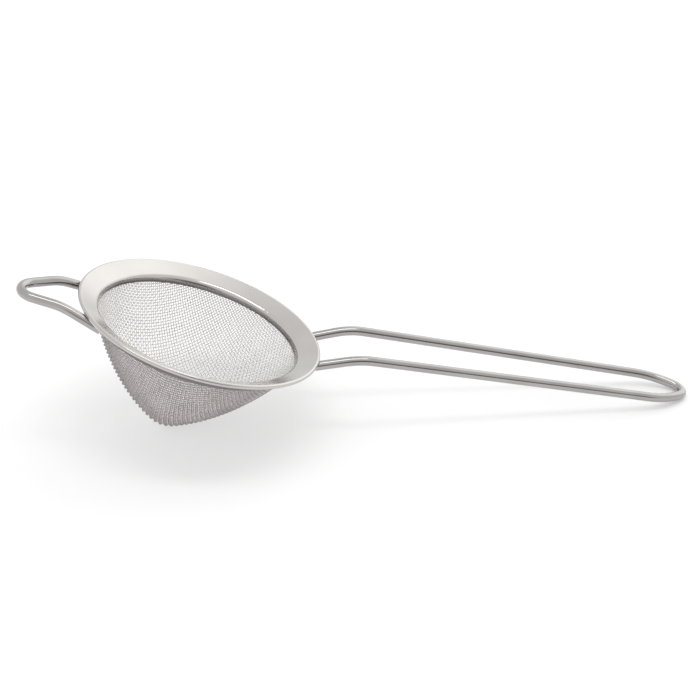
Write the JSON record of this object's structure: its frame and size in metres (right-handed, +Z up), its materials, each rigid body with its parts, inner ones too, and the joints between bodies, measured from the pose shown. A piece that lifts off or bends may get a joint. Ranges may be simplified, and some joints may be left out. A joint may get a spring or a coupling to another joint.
{
  "type": "conical strainer",
  "caption": "Small conical fine-mesh strainer with a sloped flange rim, a long wire loop handle and a short wire rest loop opposite.",
  "frame": {"origin": "on the table below the middle of the part's length, as the strainer lies on its cone tip and on the far end of its handle", "axes": "+X along the handle to its far end, +Z up, +Y to the left when looking along the handle from the bowl"},
  "size_m": [0.2748, 0.098, 0.0645],
  "materials": {
    "rim_steel": "fine satin, pressed sheet",
    "wire_cloth": "plain-weave wire cloth, bright drawn wire",
    "band_steel": "satin",
    "handle_wire": "polished round wire",
    "rest_wire": "polished round wire",
    "weld_metal": "brushed after welding, slightly dull"
  },
  "bodies": {
    "root": {"rim_flange": "rim_steel", "mesh_cone": "wire_cloth", "mesh_clamp_band": "band_steel", "long_handle": "handle_wire", "handle_weld_left": "weld_metal", "handle_weld_right": "weld_metal", "rest_loop": "rest_wire", "rest_weld_left": "weld_metal", "rest_weld_right": "weld_metal"}
  },
  "joints": []
}
